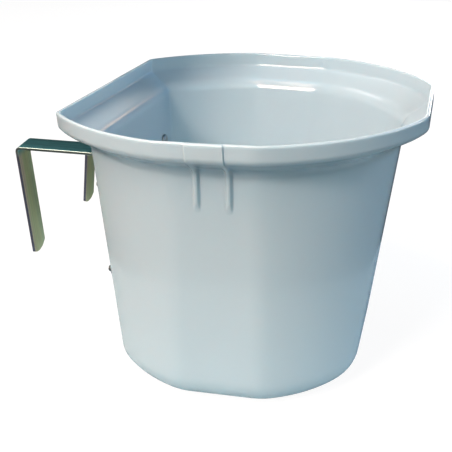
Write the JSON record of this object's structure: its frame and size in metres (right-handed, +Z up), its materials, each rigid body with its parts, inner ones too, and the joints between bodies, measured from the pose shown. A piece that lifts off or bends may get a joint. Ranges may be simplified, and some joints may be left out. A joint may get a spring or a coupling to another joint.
{
  "type": "hanging feed bucket",
  "caption": "Round moulded plastic feed bucket with a flat back wall, flared collar, side lugs and bolted steel hooks for hanging on a rail",
  "frame": {"origin": "centre of the round body on the underside of the floor", "axes": "+Z up through the open top, +Y out of the flat back wall that carries the hooks, X across the tub between the two side lugs"},
  "size_m": [0.3272, 0.3481, 0.246],
  "materials": {
    "shell_plastic": "glossy, slightly translucent moulded polyethylene, pale blue grey",
    "hook_steel": "rolled steel strip, zinc plated and yellow passivated, with an olive, blue and brown sheen",
    "fixing_steel": "zinc plated steel"
  },
  "bodies": {
    "root": {"bucket_shell": "shell_plastic", "left_hook": "hook_steel", "right_hook": "hook_steel", "bolt_left_upper": "fixing_steel", "bolt_left_lower": "fixing_steel", "bolt_right_upper": "fixing_steel", "bolt_right_lower": "fixing_steel", "nut_left_upper": "fixing_steel", "nut_left_lower": "fixing_steel", "nut_right_upper": "fixing_steel", "nut_right_lower": "fixing_steel"}
  },
  "joints": []
}
